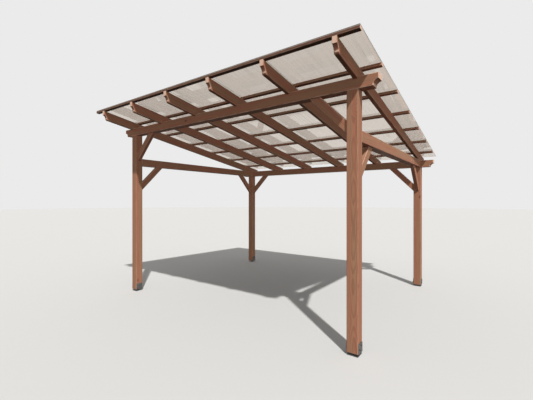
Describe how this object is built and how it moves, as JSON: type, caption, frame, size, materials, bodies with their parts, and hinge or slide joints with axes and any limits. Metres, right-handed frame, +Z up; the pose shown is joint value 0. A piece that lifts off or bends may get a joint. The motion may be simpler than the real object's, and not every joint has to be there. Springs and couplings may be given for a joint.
{
  "type": "pergola",
  "caption": "Free-standing timber pergola, open on all sides: knee-braced posts in steel shoes, sloping notched rafters, battens and a lean-to roof of clear bronze-tinted panels.",
  "frame": {"origin": "on the ground, in the middle of the roof's outline seen from above", "axes": "+X to the right along the front plate, +Y from the taller front to the lower rear, +Z up"},
  "size_m": [4.4, 4.01, 3.0221],
  "materials": {
    "timber": "red-brown stain on planed softwood",
    "galvanised_steel": "hot-dip galvanised",
    "clear_panel": "see-through bronze-tinted sheet"
  },
  "bodies": {
    "root": {"front_plate": "timber", "post_front_left": "timber", "shoe_front_left": "galvanised_steel", "plate_brace_front_left": "timber", "post_front_right": "timber", "shoe_front_right": "galvanised_steel", "plate_brace_front_right": "timber", "rear_plate": "timber", "post_rear_left": "timber", "shoe_rear_left": "galvanised_steel", "plate_brace_rear_left": "timber", "post_rear_right": "timber", "shoe_rear_right": "galvanised_steel", "plate_brace_rear_right": "timber", "side_beam_left": "timber", "beam_brace_front_left": "timber", "beam_brace_rear_left": "timber", "side_beam_right": "timber", "beam_brace_front_right": "timber", "beam_brace_rear_right": "timber", "rafter_1": "timber", "rafter_2": "timber", "rafter_3": "timber", "rafter_4": "timber", "rafter_5": "timber", "rafter_6": "timber", "batten_1": "timber", "batten_2": "timber", "batten_3": "timber", "batten_4": "timber", "batten_5": "timber", "batten_6": "timber", "batten_7": "timber", "roof_panel_1": "clear_panel", "roof_panel_2": "clear_panel", "roof_panel_3": "clear_panel", "roof_panel_4": "clear_panel", "roof_panel_5": "clear_panel"}
  },
  "joints": []
}
